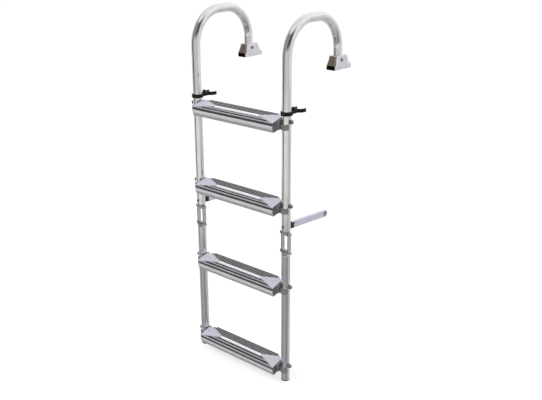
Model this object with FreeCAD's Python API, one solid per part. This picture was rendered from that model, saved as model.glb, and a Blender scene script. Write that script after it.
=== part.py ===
"""Folding bow ladder: two hooked tubes with four treads, folded by two-bolt links at mid height.

Millimetres, +Z up. X runs along the treads from left to right, and +Y points from the climber to
the boat. The origin is on the underside of the left deck socket, on the axis of the tube in it.
"""

import FreeCAD
import Part
import math
import os

Vector = FreeCAD.Vector

# Tubes and hooks
TUBE_DIAMETER = 25.4
TUBE_WALL = 1.5
STILE_SPACING = 324.0
HOOK_SPAN = 218.0
HOOK_BEND_RADIUS = 93.0
HOOK_TOP_AXIS_Z = 149.0
LEG_END_Z = 6.0
FOOT_Z = -874.0

# Deck sockets
SOCKET_WIDTH = 31.0
SOCKET_FLANGE_FRONT = 31.0
SOCKET_FLANGE_BACK = 43.5
SOCKET_FLANGE_HEIGHT = 12.0
SOCKET_HEIGHT = 38.0
SOCKET_TOP_WIDTH = 29.4
SOCKET_TOP_FRONT = 20.0
SOCKET_TOP_BACK = 25.0
SOCKET_EDGE_RADIUS = 2.0
SOCKET_PIN_Z = 26.0
SOCKET_PIN_RADIUS = 3.0
SOCKET_PIN_HEAD_RADIUS = 4.5
SOCKET_PIN_HEAD_HEIGHT = 2.5

# Treads, numbered from the top. The bolt of each tread gives its height.
STEP_BOLT_Z = [-104.0, -335.0, -574.0, -827.0]
UPPER_STEPS = (1, 2)
TREAD_FRONT = 41.0
TREAD_BACK = 19.0
TREAD_THICKNESS = 26.5
TREAD_TOP_ABOVE_BOLT = 8.0
TREAD_TILT = 14.0
TREAD_BACK_RADIUS = 4.0
TREAD_SKIN = 4.0
TREAD_WALL = 6.0
TREAD_END_BLOCK = 30.0
UNDERSIDE_BAYS = 4
UNDERSIDE_RIB = 4.0
GROOVE_DEPTH = 3.0
FRONT_GROOVES = [(8.5, 14.0), (19.0, 26.0)]
BACK_GROOVES = [(36.0, 39.0), (42.0, 45.0), (48.0, 51.0), (54.0, 57.0)]
LIP_TOP = 0.0
LIP_BOTTOM = -9.0
LIP_REACH = 3.0
LIP_ABOVE_APRON = 1.5
LIP_RADIUS = 2.0
FACE_RADIUS = 1.2
RIDGE_AT = 30.0
RIDGE_WIDTH = 5.0
PAD_LENGTH = 73.0
PAD_EDGE_MARGIN = 4.0
PAD_RAISE = 1.0
CORNER_CUT_LENGTH = 26.0
CORNER_CUT_DEPTH = 15.0

# Tread bolts, and the collars between the tread ends and the stiles
BOLT_RADIUS = 4.0
BOLT_CLEARANCE = 0.1
BOLT_IN_TREAD = 22.0
BOLT_TIP_GAP = 1.0
NUT_RADIUS = 6.5
NUT_LENGTH = 5.5
NUT_DOME_RADIUS = 5.2
NUT_DOME_LENGTH = 4.5
COLLAR_WALL = 3.0
COLLAR_TUBE_GAP = 0.1
COLLAR_TREAD_GAP = 0.1
COLLAR_BAND_TOP = -3.5
COLLAR_BAND_HEIGHT = 14.0
COLLAR_OPEN_AT = 7.0
COLLAR_FLANGE_FRONT = 22.0
COLLAR_FLANGE_BACK = 12.0
COLLAR_FLANGE_TOP = 7.0
COLLAR_FLANGE_INSET = 1.5

# Fold links at mid height
HINGE_BOLT_SPACING = 55.0
HINGE_UPPER_BOLT_Z = -416.0
HINGE_TUBE_END_GAP = 8.5
STRAP_WIDTH = 13.0
STRAP_THICKNESS = 3.0
STRAP_SIDE_GAP = 0.3
TONGUE_HALF_WIDTH = 9.4
TONGUE_DEPTH = 16.0
PLUG_DEPTH = 30.0
PLUG_CLEARANCE = 0.05
HINGE_BOLT_RADIUS = 3.0
HINGE_PIN_CLEARANCE = 0.05
HINGE_NUT_RADIUS = 5.5
HINGE_NUT_LENGTH = 8.0

# Clips that hold the folded lower section
CLIP_Z = -83.0
CLIP_HEIGHT = 10.0
CLIP_WALL = 3.2
CLIP_TUBE_GAP = 0.5
CLIP_TIP_PAST_CENTRE = 6.0
CLIP_NECK_WIDTH = 12.0
CLIP_SCREW_RADIUS = 3.0
CLIP_SCREW_HEAD_RADIUS = 4.5
CLIP_SCREW_HEAD_HEIGHT = 7.0
CLIP_SCREW_Y = 27.0

# Stand-off arms and their brackets
ARM_PIVOT_ABOVE_BOLT = 18.0
ARM_LENGTH = 155.0
ARM_HEIGHT = 19.0
ARM_THICKNESS = 9.0
ARM_DROOP = 4.5
ARM_HEEL_GAP = 0.3
ARM_END_HOLE_RADIUS = 5.0
ARM_PIN_RADIUS = 3.0
ARM_PIN_HEAD_RADIUS = 5.0
ARM_PIN_HEAD_HEIGHT = 2.0
ARM_PIN_CLEARANCE = 0.05
ARM_SIDE_GAP = 0.3
BRACKET_EAR_THICKNESS = 3.7
BRACKET_EAR_RADIUS = 6.5
BRACKET_RISE = 12.0
BRACKET_SADDLE = 4.0
BRACKET_SCREW_RADIUS = 3.0
BRACKET_SCREW_RISE = 3.0
BRACKET_SCREW_HEAD_RADIUS = 4.5
BRACKET_SCREW_HEAD_HEIGHT = 2.0

# End plugs at the foot of the stiles
FOOT_PLUG_RIM = 3.0
FOOT_PLUG_DEPTH = 20.0

TUBE_RADIUS = TUBE_DIAMETER / 2
TUBE_BORE_RADIUS = TUBE_RADIUS - TUBE_WALL
STILE_Y = -HOOK_SPAN
SIDES = {"left": 0.0, "right": STILE_SPACING}
HINGE_LOWER_BOLT_Z = HINGE_UPPER_BOLT_Z - HINGE_BOLT_SPACING
UPPER_TUBE_END_Z = HINGE_UPPER_BOLT_Z + HINGE_TUBE_END_GAP
LOWER_TUBE_TOP_Z = HINGE_LOWER_BOLT_Z - HINGE_TUBE_END_GAP
ARM_PIVOT_Y = STILE_Y + HINGE_BOLT_SPACING / 2
ARM_PIVOT_Z = HINGE_UPPER_BOLT_Z + ARM_PIVOT_ABOVE_BOLT
COLLAR_INNER = TUBE_RADIUS + COLLAR_TUBE_GAP
COLLAR_OUTER = COLLAR_INNER + COLLAR_WALL
TREAD_START = COLLAR_OUTER + COLLAR_TREAD_GAP
BRACKET_LOW_Z = ARM_PIVOT_Z - BRACKET_EAR_RADIUS
BRACKET_HIGH_Z = ARM_PIVOT_Z + BRACKET_RISE
BRACKET_HALF_WIDTH = ARM_THICKNESS / 2 + ARM_SIDE_GAP + BRACKET_EAR_THICKNESS
HEEL_STOP_Y = STILE_Y + COLLAR_INNER + BRACKET_SADDLE
X_AXIS = Vector(1, 0, 0)
Y_AXIS = Vector(0, 1, 0)
Z_AXIS = Vector(0, 0, 1)


def outward(side):
    """The X direction from a stile to the outside of the ladder: -1 on the left, +1 on the right."""
    return -1.0 if side == "left" else 1.0


def box(x0, x1, y0, y1, z0, z1):
    """A block between two corners, given in any order along X."""
    low, high = min(x0, x1), max(x0, x1)
    return Part.makeBox(high - low, y1 - y0, z1 - z0, Vector(low, y0, z0))


def cylinder_x(radius, x0, x1, y, z):
    """A cylinder along X between two stations, given in any order."""
    low, high = min(x0, x1), max(x0, x1)
    return Part.makeCylinder(radius, high - low, Vector(low, y, z), X_AXIS)


def cylinder_z(radius, x, y, z0, z1):
    """An upright cylinder."""
    return Part.makeCylinder(radius, z1 - z0, Vector(x, y, z0), Z_AXIS)


def hexagon_x(radius, x0, x1, y, z):
    """A hexagonal nut or head along X, with its corners at the radius."""
    corners = [math.radians(60 * k) for k in range(7)]
    points = [Vector(x0, y + radius * math.cos(t), z + radius * math.sin(t)) for t in corners]
    return Part.Face(Part.makePolygon(points)).extrude(Vector(x1 - x0, 0, 0))


def ring_face(outer, inner, centre, normal):
    """A flat ring, the section of a tube."""
    disc, hole = [Part.Face(Part.Wire(Part.makeCircle(r, centre, normal))) for r in (outer, inner)]
    return disc.cut(hole).Faces[0]


def fused(shapes):
    """One clean solid from pieces that meet or overlap."""
    whole = shapes[0].multiFuse(shapes[1:]) if len(shapes) > 1 else shapes[0]
    return whole.removeSplitter()


def hooked_tube(x, outer, inner):
    """The upper stile with its hook, as straight runs and quarter bends of a ring section."""
    bend_base_z = HOOK_TOP_AXIS_Z - HOOK_BEND_RADIUS
    turn_y = STILE_Y + HOOK_BEND_RADIUS
    top_run = HOOK_SPAN - 2 * HOOK_BEND_RADIUS
    upright = ring_face(outer, inner, Vector(x, STILE_Y, UPPER_TUBE_END_Z), Z_AXIS)
    rising = ring_face(outer, inner, Vector(x, STILE_Y, bend_base_z), Z_AXIS)
    level = ring_face(outer, inner, Vector(x, turn_y, HOOK_TOP_AXIS_Z), Y_AXIS)
    over = ring_face(outer, inner, Vector(x, -HOOK_BEND_RADIUS, HOOK_TOP_AXIS_Z), Y_AXIS)
    falling = ring_face(outer, inner, Vector(x, 0, LEG_END_Z), Z_AXIS)
    runs = [
        upright.extrude(Vector(0, 0, bend_base_z - UPPER_TUBE_END_Z)),
        rising.revolve(Vector(x, turn_y, bend_base_z), -X_AXIS, 90),
        over.revolve(Vector(x, -HOOK_BEND_RADIUS, bend_base_z), -X_AXIS, 90),
        falling.extrude(Vector(0, 0, bend_base_z - LEG_END_Z)),
    ]
    if top_run > 0:
        runs.append(level.extrude(Vector(0, top_run, 0)))
    return fused(runs)


def step_bolt_holes(x, steps):
    """The holes for the tread bolts that go through a stile."""
    reach = TUBE_DIAMETER
    radius = BOLT_RADIUS + BOLT_CLEARANCE
    heights = [STEP_BOLT_Z[step - 1] for step in steps]
    return [cylinder_x(radius, x - reach, x + reach, STILE_Y, z) for z in heights]


def upper_stile(side):
    """A hooked tube with the holes for its tread bolts, its socket pin and its bracket screw."""
    x = SIDES[side]
    tube = hooked_tube(x, TUBE_RADIUS, TUBE_BORE_RADIUS)
    for hole in step_bolt_holes(x, UPPER_STEPS):
        tube = tube.cut(hole)
    return tube.cut(socket_pin_hole(x)).cut(bracket_screw_hole(x))


def lower_stile(side):
    """The straight tube of the lower section."""
    x = SIDES[side]
    steps = [n for n in range(1, len(STEP_BOLT_Z) + 1) if n not in UPPER_STEPS]
    section = ring_face(TUBE_RADIUS, TUBE_BORE_RADIUS, Vector(x, STILE_Y, FOOT_Z), Z_AXIS)
    tube = section.extrude(Vector(0, 0, LOWER_TUBE_TOP_Z - FOOT_Z))
    for hole in step_bolt_holes(x, steps):
        tube = tube.cut(hole)
    return tube


def socket(side):
    """The cast deck socket: a flange, a sloped shoulder and a blind bore for the hook's free leg."""
    x = SIDES[side]
    half = SOCKET_WIDTH / 2
    top_half = SOCKET_TOP_WIDTH / 2
    flange = box(x - half, x + half, -SOCKET_FLANGE_FRONT, SOCKET_FLANGE_BACK, 0, SOCKET_FLANGE_HEIGHT)
    low = Part.makePolygon([
        Vector(x - half, -SOCKET_FLANGE_FRONT, SOCKET_FLANGE_HEIGHT),
        Vector(x + half, -SOCKET_FLANGE_FRONT, SOCKET_FLANGE_HEIGHT),
        Vector(x + half, SOCKET_FLANGE_BACK, SOCKET_FLANGE_HEIGHT),
        Vector(x - half, SOCKET_FLANGE_BACK, SOCKET_FLANGE_HEIGHT),
        Vector(x - half, -SOCKET_FLANGE_FRONT, SOCKET_FLANGE_HEIGHT),
    ])
    high = Part.makePolygon([
        Vector(x - top_half, -SOCKET_TOP_FRONT, SOCKET_HEIGHT),
        Vector(x + top_half, -SOCKET_TOP_FRONT, SOCKET_HEIGHT),
        Vector(x + top_half, SOCKET_TOP_BACK, SOCKET_HEIGHT),
        Vector(x - top_half, SOCKET_TOP_BACK, SOCKET_HEIGHT),
        Vector(x - top_half, -SOCKET_TOP_FRONT, SOCKET_HEIGHT),
    ])
    shoulder = Part.makeLoft([low, high], True, True)
    body = flange.fuse(shoulder).removeSplitter()
    upright = [e for e in body.Edges if abs(e.tangentAt(e.FirstParameter).z) > 0.5]
    body = body.makeFillet(SOCKET_EDGE_RADIUS, upright)
    bore_radius = TUBE_RADIUS + PLUG_CLEARANCE
    body = body.cut(cylinder_z(bore_radius, x, 0, LEG_END_Z, SOCKET_HEIGHT + 1))
    return body.cut(socket_pin_hole(x))


def socket_pin_hole(x):
    """The cross hole through a socket and the leg in it."""
    radius = SOCKET_PIN_RADIUS + BOLT_CLEARANCE
    return cylinder_x(radius, x - SOCKET_WIDTH, x + SOCKET_WIDTH, 0, SOCKET_PIN_Z)


def socket_pin(side):
    """The cross pin that locks the leg in its socket, with a low head on each face."""
    x = SIDES[side]
    face = SOCKET_WIDTH / 2
    shank = cylinder_x(SOCKET_PIN_RADIUS, x - face, x + face, 0, SOCKET_PIN_Z)
    heads = [
        cylinder_x(SOCKET_PIN_HEAD_RADIUS, x + face, x + face + SOCKET_PIN_HEAD_HEIGHT, 0, SOCKET_PIN_Z),
        cylinder_x(SOCKET_PIN_HEAD_RADIUS, x - face, x - face - SOCKET_PIN_HEAD_HEIGHT, 0, SOCKET_PIN_Z),
    ]
    return fused([shank] + heads)


def tread_section():
    """The tread's side outline before tilting, with the bolt axis at Y 0, Z 0."""
    top = TREAD_TOP_ABOVE_BOLT
    bottom = top - TREAD_THICKNESS
    front = -TREAD_FRONT
    shoulder = front + LIP_REACH
    apron = front + LIP_ABOVE_APRON
    outline = [
        (shoulder, top),
        (shoulder, LIP_TOP),
        (front, LIP_TOP),
        (front, LIP_BOTTOM),
        (apron, LIP_BOTTOM),
        (apron, bottom),
        (TREAD_BACK, bottom),
        (TREAD_BACK, top),
        (shoulder, top),
    ]
    wire = Part.makePolygon([Vector(0, y, z) for y, z in outline])
    profile = Part.Face(wire).extrude(Vector(1, 0, 0))
    roundings = [
        (front, LIP_TOP, LIP_RADIUS),
        (front, LIP_BOTTOM, FACE_RADIUS),
        (apron, bottom, FACE_RADIUS),
        (shoulder, top, FACE_RADIUS),
        (TREAD_BACK, bottom, TREAD_BACK_RADIUS),
        (TREAD_BACK, top, TREAD_BACK_RADIUS),
    ]
    for y, z, radius in roundings:
        edges = [e for e in profile.Edges if is_edge_at(e, y, z)]
        profile = profile.makeFillet(radius, edges)
    return profile


def is_edge_at(edge, y, z):
    """Whether an edge runs along X at this Y and Z."""
    along = abs(edge.tangentAt(edge.FirstParameter).x) > 0.99
    return along and abs(edge.CenterOfMass.y - y) < 0.01 and abs(edge.CenterOfMass.z - z) < 0.01


def tread(step):
    """A ribbed tread: grooves along it, raised triangular pads at its ends and a ridge between them."""
    start = TREAD_START
    length = STILE_SPACING - 2 * start
    section = [f for f in tread_section().Faces if abs(f.normalAt(0, 0).x) > 0.99][0]
    body = Part.Face(section.OuterWire).extrude(Vector(length, 0, 0))
    body.translate(Vector(start - body.BoundBox.XMin, 0, 0))
    top = TREAD_TOP_ABOVE_BOLT
    end = start + length
    pads = [
        pad_prism(start, start + PAD_LENGTH),
        pad_prism(end, end - PAD_LENGTH),
    ]
    cuts = []
    for low, high in FRONT_GROOVES + BACK_GROOVES:
        cuts.append(box(start, end, low - TREAD_FRONT, high - TREAD_FRONT, top - GROOVE_DEPTH, top + 1))
    grooves = cuts[0].multiFuse(cuts[1:])
    for pad in pads:
        grooves = grooves.cut(pad)
    ridge_y = RIDGE_AT - TREAD_FRONT
    half_ridge = RIDGE_WIDTH / 2
    ridge = box(start + half_ridge, end - half_ridge, ridge_y - half_ridge, ridge_y + half_ridge,
                top - GROOVE_DEPTH, top + PAD_RAISE)
    body = fused([body.cut(grooves), ridge] + pads)
    for pocket in underside_pockets(start, end):
        body = body.cut(pocket)
    for corner in (corner_cut(start, start + CORNER_CUT_LENGTH), corner_cut(end, end - CORNER_CUT_LENGTH)):
        body = body.cut(corner)
    hole = BOLT_RADIUS + BOLT_CLEARANCE
    body = body.cut(cylinder_x(hole, start, start + BOLT_IN_TREAD, 0, 0))
    body = body.cut(cylinder_x(hole, end - BOLT_IN_TREAD, end, 0, 0))
    body.rotate(Vector(0, 0, 0), X_AXIS, TREAD_TILT)
    body.translate(Vector(0, STILE_Y, STEP_BOLT_Z[step - 1]))
    return body


def corner_cut(end_x, inner_x):
    """The slanting cut across a tread's back corner, from its end to the back edge."""
    slope = (inner_x - end_x) / CORNER_CUT_DEPTH
    front = TREAD_BACK - CORNER_CUT_DEPTH
    past = TREAD_BACK + 2
    bottom = -TREAD_THICKNESS - 5
    points = [
        Vector(end_x - slope, front - 1, bottom),
        Vector(end_x + slope * (past - front), past, bottom),
        Vector(end_x - slope, past, bottom),
        Vector(end_x - slope, front - 1, bottom),
    ]
    return Part.Face(Part.makePolygon(points)).extrude(Vector(0, 0, TREAD_THICKNESS + 25))


def underside_pockets(start, end):
    """The hollows between the ribs under a tread, in front of the ridge above and behind it."""
    bottom = TREAD_TOP_ABOVE_BOLT - TREAD_THICKNESS
    ceiling = TREAD_TOP_ABOVE_BOLT - GROOVE_DEPTH - TREAD_SKIN
    middle = RIDGE_AT - TREAD_FRONT
    rows = [
        (-TREAD_FRONT + TREAD_WALL, middle - UNDERSIDE_RIB / 2),
        (middle + UNDERSIDE_RIB / 2, TREAD_BACK - TREAD_WALL),
    ]
    first = start + TREAD_END_BLOCK
    pitch = (end - start - 2 * TREAD_END_BLOCK + UNDERSIDE_RIB) / UNDERSIDE_BAYS
    pockets = []
    for bay in range(UNDERSIDE_BAYS):
        low = first + bay * pitch
        for front, back in rows:
            pockets.append(box(low, low + pitch - UNDERSIDE_RIB, front, back, bottom - 1, ceiling))
    return pockets


def pad_prism(base_x, tip_x):
    """The smooth raised triangle at a tread's end, its base on the end and its tip inwards."""
    low = TREAD_TOP_ABOVE_BOLT - GROOVE_DEPTH
    front = -TREAD_FRONT + PAD_EDGE_MARGIN
    back = TREAD_BACK - PAD_EDGE_MARGIN
    tip_y = RIDGE_AT - TREAD_FRONT
    points = [
        Vector(base_x, front, low),
        Vector(tip_x, tip_y, low),
        Vector(base_x, back, low),
        Vector(base_x, front, low),
    ]
    return Part.Face(Part.makePolygon(points)).extrude(Vector(0, 0, GROOVE_DEPTH + PAD_RAISE))


def tread_bolts(step):
    """The two bolts of a tread, each with its cap nut outside its stile."""
    z = STEP_BOLT_Z[step - 1]
    bolts = []
    for side, x in SIDES.items():
        out = outward(side)
        seat = x + out * TUBE_RADIUS
        inner = x - out * (TREAD_START + BOLT_IN_TREAD - BOLT_TIP_GAP)
        shank = cylinder_x(BOLT_RADIUS, inner, seat, STILE_Y, z)
        nut_side = seat + out * NUT_LENGTH
        nut = hexagon_x(NUT_RADIUS, seat, nut_side, STILE_Y, z)
        dome = cylinder_x(NUT_DOME_RADIUS, nut_side, nut_side + out * NUT_DOME_LENGTH, STILE_Y, z)
        bolts.append(fused([shank, nut, dome]))
    return Part.makeCompound(bolts)


def collar(step, side):
    """The saddle at a tread's end: a flange that the bolt goes through and a band round the stile's front.

    It is made for the left side with the bolt at the origin, tilted as the tread is.
    For the right side it is mirrored.
    """
    low = COLLAR_BAND_TOP - COLLAR_BAND_HEIGHT
    band = box(-COLLAR_OUTER, COLLAR_OUTER, -COLLAR_FLANGE_FRONT, COLLAR_FLANGE_BACK, low, COLLAR_BAND_TOP)
    flange = box(COLLAR_INNER - COLLAR_FLANGE_INSET, COLLAR_OUTER, -COLLAR_FLANGE_FRONT, COLLAR_FLANGE_BACK,
                 low, COLLAR_FLANGE_TOP)
    flange = flange.cut(cylinder_x(BOLT_RADIUS + BOLT_CLEARANCE, 0, 2 * COLLAR_OUTER, 0, 0))
    for piece in (band, flange):
        piece.rotate(Vector(0, 0, 0), X_AXIS, TREAD_TILT)
    reach = 2 * COLLAR_FLANGE_FRONT
    outside, tube = [cylinder_z(radius, 0, 0, -reach, reach) for radius in (COLLAR_OUTER, COLLAR_INNER)]
    front = box(-COLLAR_OUTER, COLLAR_OUTER, -COLLAR_OUTER, -COLLAR_OPEN_AT, -reach, reach)
    corner = box(COLLAR_OPEN_AT, COLLAR_OUTER, -COLLAR_OPEN_AT, 0, -reach, reach)
    wrap = outside.common(fused([front, corner])).common(band)
    body = fused([wrap, flange]).cut(tube)
    if side == "right":
        body = body.mirror(Vector(0, 0, 0), X_AXIS)
    body.translate(Vector(SIDES[side], STILE_Y, STEP_BOLT_Z[step - 1]))
    return body


def hinge_plug(side, tube_end_z, bolt_z):
    """The insert in a tube's end, with the tongue that the fold bolt goes through."""
    x = SIDES[side]
    into = 1.0 if tube_end_z > bolt_z else -1.0
    low = min(tube_end_z, tube_end_z + into * PLUG_DEPTH)
    body = cylinder_z(TUBE_BORE_RADIUS - PLUG_CLEARANCE, x, STILE_Y, low, low + PLUG_DEPTH)
    half = TONGUE_HALF_WIDTH
    depth = TONGUE_DEPTH / 2
    tongue_low = min(bolt_z, tube_end_z)
    tongue_high = max(bolt_z, tube_end_z)
    tongue = box(x - half, x + half, STILE_Y - depth, STILE_Y + depth, tongue_low, tongue_high)
    nose = cylinder_x(depth, x - half, x + half, STILE_Y, bolt_z)
    hole = cylinder_x(HINGE_BOLT_RADIUS + HINGE_PIN_CLEARANCE, x - 2 * half, x + 2 * half, STILE_Y, bolt_z)
    return fused([body, tongue, nose]).cut(hole)


def strap(x, thickness):
    """A flat link bar with round ends and two bolt holes, its inner face at x."""
    radius = STRAP_WIDTH / 2
    bolts_z = (HINGE_LOWER_BOLT_Z, HINGE_UPPER_BOLT_Z)
    shank = box(x, x + thickness, STILE_Y - radius, STILE_Y + radius, bolts_z[0], bolts_z[1])
    ends = [cylinder_x(radius, x, x + thickness, STILE_Y, z) for z in bolts_z]
    body = fused([shank] + ends)
    hole = HINGE_BOLT_RADIUS + HINGE_PIN_CLEARANCE
    for z in bolts_z:
        body = body.cut(cylinder_x(hole, x - thickness, x + 2 * thickness, STILE_Y, z))
    return body


def hinge_straps(side):
    """The two link bars of one hinge, either side of the tongues."""
    x = SIDES[side]
    inner = TONGUE_HALF_WIDTH + STRAP_SIDE_GAP
    right = strap(x + inner, STRAP_THICKNESS)
    left = strap(x - inner - STRAP_THICKNESS, STRAP_THICKNESS)
    return Part.makeCompound([left, right])


def hinge_bolts(side):
    """The two fold bolts of one hinge, with a head and a nut outside the link bars."""
    x = SIDES[side]
    seat = TONGUE_HALF_WIDTH + STRAP_SIDE_GAP + STRAP_THICKNESS
    bolts = []
    for z in (HINGE_UPPER_BOLT_Z, HINGE_LOWER_BOLT_Z):
        shank = cylinder_x(HINGE_BOLT_RADIUS, x - seat, x + seat, STILE_Y, z)
        nut = hexagon_x(HINGE_NUT_RADIUS, x + seat, x + seat + HINGE_NUT_LENGTH, STILE_Y, z)
        head = hexagon_x(HINGE_NUT_RADIUS, x - seat - HINGE_NUT_LENGTH, x - seat, STILE_Y, z)
        bolts.append(fused([shank, nut, head]))
    return Part.makeCompound(bolts)


def stow_clip(side):
    """A black clip: a ring on the upper stile, a neck, and an open fork for the folded tube."""
    x = SIDES[side]
    low = CLIP_Z - CLIP_HEIGHT / 2
    high = CLIP_Z + CLIP_HEIGHT / 2
    fork_y = STILE_Y + HINGE_BOLT_SPACING
    bore = TUBE_RADIUS + CLIP_TUBE_GAP
    outer = bore + CLIP_WALL
    ring = cylinder_z(TUBE_RADIUS + COLLAR_TUBE_GAP + CLIP_WALL, x, STILE_Y, low, high)
    neck = box(x - CLIP_NECK_WIDTH / 2, x + CLIP_NECK_WIDTH / 2, STILE_Y, fork_y, low, high)
    fork = cylinder_z(outer, x, fork_y, low, high)
    tip_y = fork_y + CLIP_TIP_PAST_CENTRE
    prongs = box(x - outer, x + outer, fork_y, tip_y, low, high)
    fork = fork.common(box(x - outer, x + outer, fork_y - outer, fork_y, low, high))
    body = fused([ring, neck, fork, prongs])
    body = body.cut(cylinder_z(TUBE_RADIUS + COLLAR_TUBE_GAP, x, STILE_Y, low - 1, high + 1))
    body = body.cut(cylinder_z(bore, x, fork_y, low - 1, high + 1))
    mouth = box(x - bore, x + bore, fork_y, tip_y + 1, low - 1, high + 1)
    hole = cylinder_z(CLIP_SCREW_RADIUS + BOLT_CLEARANCE, x, STILE_Y + CLIP_SCREW_Y, low - 1, high + 1)
    return body.cut(mouth).cut(hole)


def clip_screws():
    """The upright screws in the necks of both clips."""
    y = STILE_Y + CLIP_SCREW_Y
    low = CLIP_Z - CLIP_HEIGHT / 2
    high = CLIP_Z + CLIP_HEIGHT / 2
    screws = []
    for x in SIDES.values():
        shank = cylinder_z(CLIP_SCREW_RADIUS, x, y, low, high)
        head = cylinder_z(CLIP_SCREW_HEAD_RADIUS, x, y, high, high + CLIP_SCREW_HEAD_HEIGHT)
        screws.append(fused([shank, head]))
    return Part.makeCompound(screws)


def standoff_bracket(side):
    """The black bracket on the back of a stile: a saddle on the tube and two ears for the arm's pin."""
    x = SIDES[side]
    half = BRACKET_HALF_WIDTH
    saddle = box(x - half, x + half, STILE_Y, HEEL_STOP_Y - ARM_HEEL_GAP, BRACKET_LOW_Z, BRACKET_HIGH_Z)
    ear_high = ARM_PIVOT_Z + BRACKET_EAR_RADIUS
    ears = []
    for direction in (1.0, -1.0):
        near = x + direction * (half - BRACKET_EAR_THICKNESS)
        far = x + direction * half
        web = box(near, far, STILE_Y, ARM_PIVOT_Y, BRACKET_LOW_Z, ear_high)
        nose = cylinder_x(BRACKET_EAR_RADIUS, near, far, ARM_PIVOT_Y, ARM_PIVOT_Z)
        ears.append(fused([web, nose]))
    body = fused([saddle] + ears)
    body = body.cut(cylinder_z(COLLAR_INNER, x, STILE_Y, BRACKET_LOW_Z - 1, BRACKET_HIGH_Z + 1))
    return body.cut(arm_pin_hole(x)).cut(bracket_screw_hole(x))


def arm_pin_hole(x):
    """The hole for an arm's pin, through the arm and both ears."""
    reach = 2 * BRACKET_HALF_WIDTH
    return cylinder_x(ARM_PIN_RADIUS + ARM_PIN_CLEARANCE, x - reach, x + reach, ARM_PIVOT_Y, ARM_PIVOT_Z)


def bracket_screw_hole(x):
    """The hole for the bracket's screw, along Y through the stile and into the saddle."""
    start = Vector(x, STILE_Y - TUBE_DIAMETER, ARM_PIVOT_Z + BRACKET_SCREW_RISE)
    return Part.makeCylinder(BRACKET_SCREW_RADIUS + BOLT_CLEARANCE, 2 * TUBE_DIAMETER, start, Y_AXIS)


def bracket_screw(side):
    """The screw that holds a bracket, with a low round head on the front of the stile."""
    x = SIDES[side]
    z = ARM_PIVOT_Z + BRACKET_SCREW_RISE
    seat = STILE_Y - TUBE_RADIUS
    length = HEEL_STOP_Y - 2 * ARM_HEEL_GAP - seat
    shank = Part.makeCylinder(BRACKET_SCREW_RADIUS, length, Vector(x, seat, z), Y_AXIS)
    head_start = Vector(x, seat - BRACKET_SCREW_HEAD_HEIGHT, z)
    head = Part.makeCylinder(BRACKET_SCREW_HEAD_RADIUS, BRACKET_SCREW_HEAD_HEIGHT, head_start, Y_AXIS)
    return fused([shank, head])


def standoff_pin(side):
    """The pin that the arm turns on, with a low head on each ear."""
    x = SIDES[side]
    half = BRACKET_HALF_WIDTH
    shank = cylinder_x(ARM_PIN_RADIUS, x - half, x + half, ARM_PIVOT_Y, ARM_PIVOT_Z)
    heads = []
    for direction in (1.0, -1.0):
        face = x + direction * half
        end = face + direction * ARM_PIN_HEAD_HEIGHT
        heads.append(cylinder_x(ARM_PIN_HEAD_RADIUS, face, end, ARM_PIVOT_Y, ARM_PIVOT_Z))
    return fused([shank] + heads)


def standoff_arm(side):
    """The arm that holds the ladder off the hull: a hole at its round tip, a square heel that stops it."""
    x = SIDES[side]
    half = ARM_THICKNESS / 2
    radius = ARM_HEIGHT / 2
    tip_y = ARM_PIVOT_Y + ARM_LENGTH - radius
    low = ARM_PIVOT_Z - radius
    bar = box(x - half, x + half, ARM_PIVOT_Y, tip_y, low, ARM_PIVOT_Z + radius)
    heel = box(x - half, x + half, HEEL_STOP_Y - BRACKET_SADDLE, ARM_PIVOT_Y, low, ARM_PIVOT_Z)
    ends = [cylinder_x(radius, x - half, x + half, y, ARM_PIVOT_Z) for y in (ARM_PIVOT_Y, tip_y)]
    body = fused([bar, heel] + ends)
    body = body.cut(arm_pin_hole(x))
    body = body.cut(cylinder_x(ARM_END_HOLE_RADIUS, x - half, x + half, tip_y, ARM_PIVOT_Z))
    body.rotate(Vector(x, ARM_PIVOT_Y, ARM_PIVOT_Z), X_AXIS, -ARM_DROOP)
    past_stop = box(x - half, x + half, STILE_Y, HEEL_STOP_Y, low - ARM_HEIGHT, low + 2 * ARM_HEIGHT)
    return body.cut(past_stop)


def foot_plug(side):
    """The dark plug in the foot of a stile."""
    x = SIDES[side]
    stem = cylinder_z(TUBE_BORE_RADIUS - PLUG_CLEARANCE, x, STILE_Y, FOOT_Z, FOOT_Z + FOOT_PLUG_DEPTH)
    rim = cylinder_z(TUBE_RADIUS, x, STILE_Y, FOOT_Z - FOOT_PLUG_RIM, FOOT_Z)
    return fused([stem, rim])


def build():
    """Every piece by its name."""
    pieces = {"clip_screws": clip_screws()}
    for side in SIDES:
        pieces[side + "_upper_stile"] = upper_stile(side)
        pieces[side + "_lower_stile"] = lower_stile(side)
        pieces[side + "_deck_socket"] = socket(side)
        pieces[side + "_socket_pin"] = socket_pin(side)
        upper_plug = hinge_plug(side, UPPER_TUBE_END_Z, HINGE_UPPER_BOLT_Z)
        pieces[side + "_upper_hinge_plug"] = upper_plug.cut(bracket_screw_hole(SIDES[side]))
        pieces[side + "_lower_hinge_plug"] = hinge_plug(side, LOWER_TUBE_TOP_Z, HINGE_LOWER_BOLT_Z)
        pieces[side + "_hinge_straps"] = hinge_straps(side)
        pieces[side + "_hinge_bolts"] = hinge_bolts(side)
        pieces[side + "_stow_clip"] = stow_clip(side)
        pieces[side + "_standoff_bracket"] = standoff_bracket(side)
        pieces[side + "_bracket_screw"] = bracket_screw(side)
        pieces[side + "_standoff_pin"] = standoff_pin(side)
        pieces[side + "_standoff_arm"] = standoff_arm(side)
        pieces[side + "_foot_plug"] = foot_plug(side)
    for step in range(1, len(STEP_BOLT_Z) + 1):
        name = "step_" + str(step)
        pieces[name + "_tread"] = tread(step)
        pieces[name + "_bolts"] = tread_bolts(step)
        for side in SIDES:
            pieces[name + "_" + side + "_collar"] = collar(step, side)
    return pieces


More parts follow.
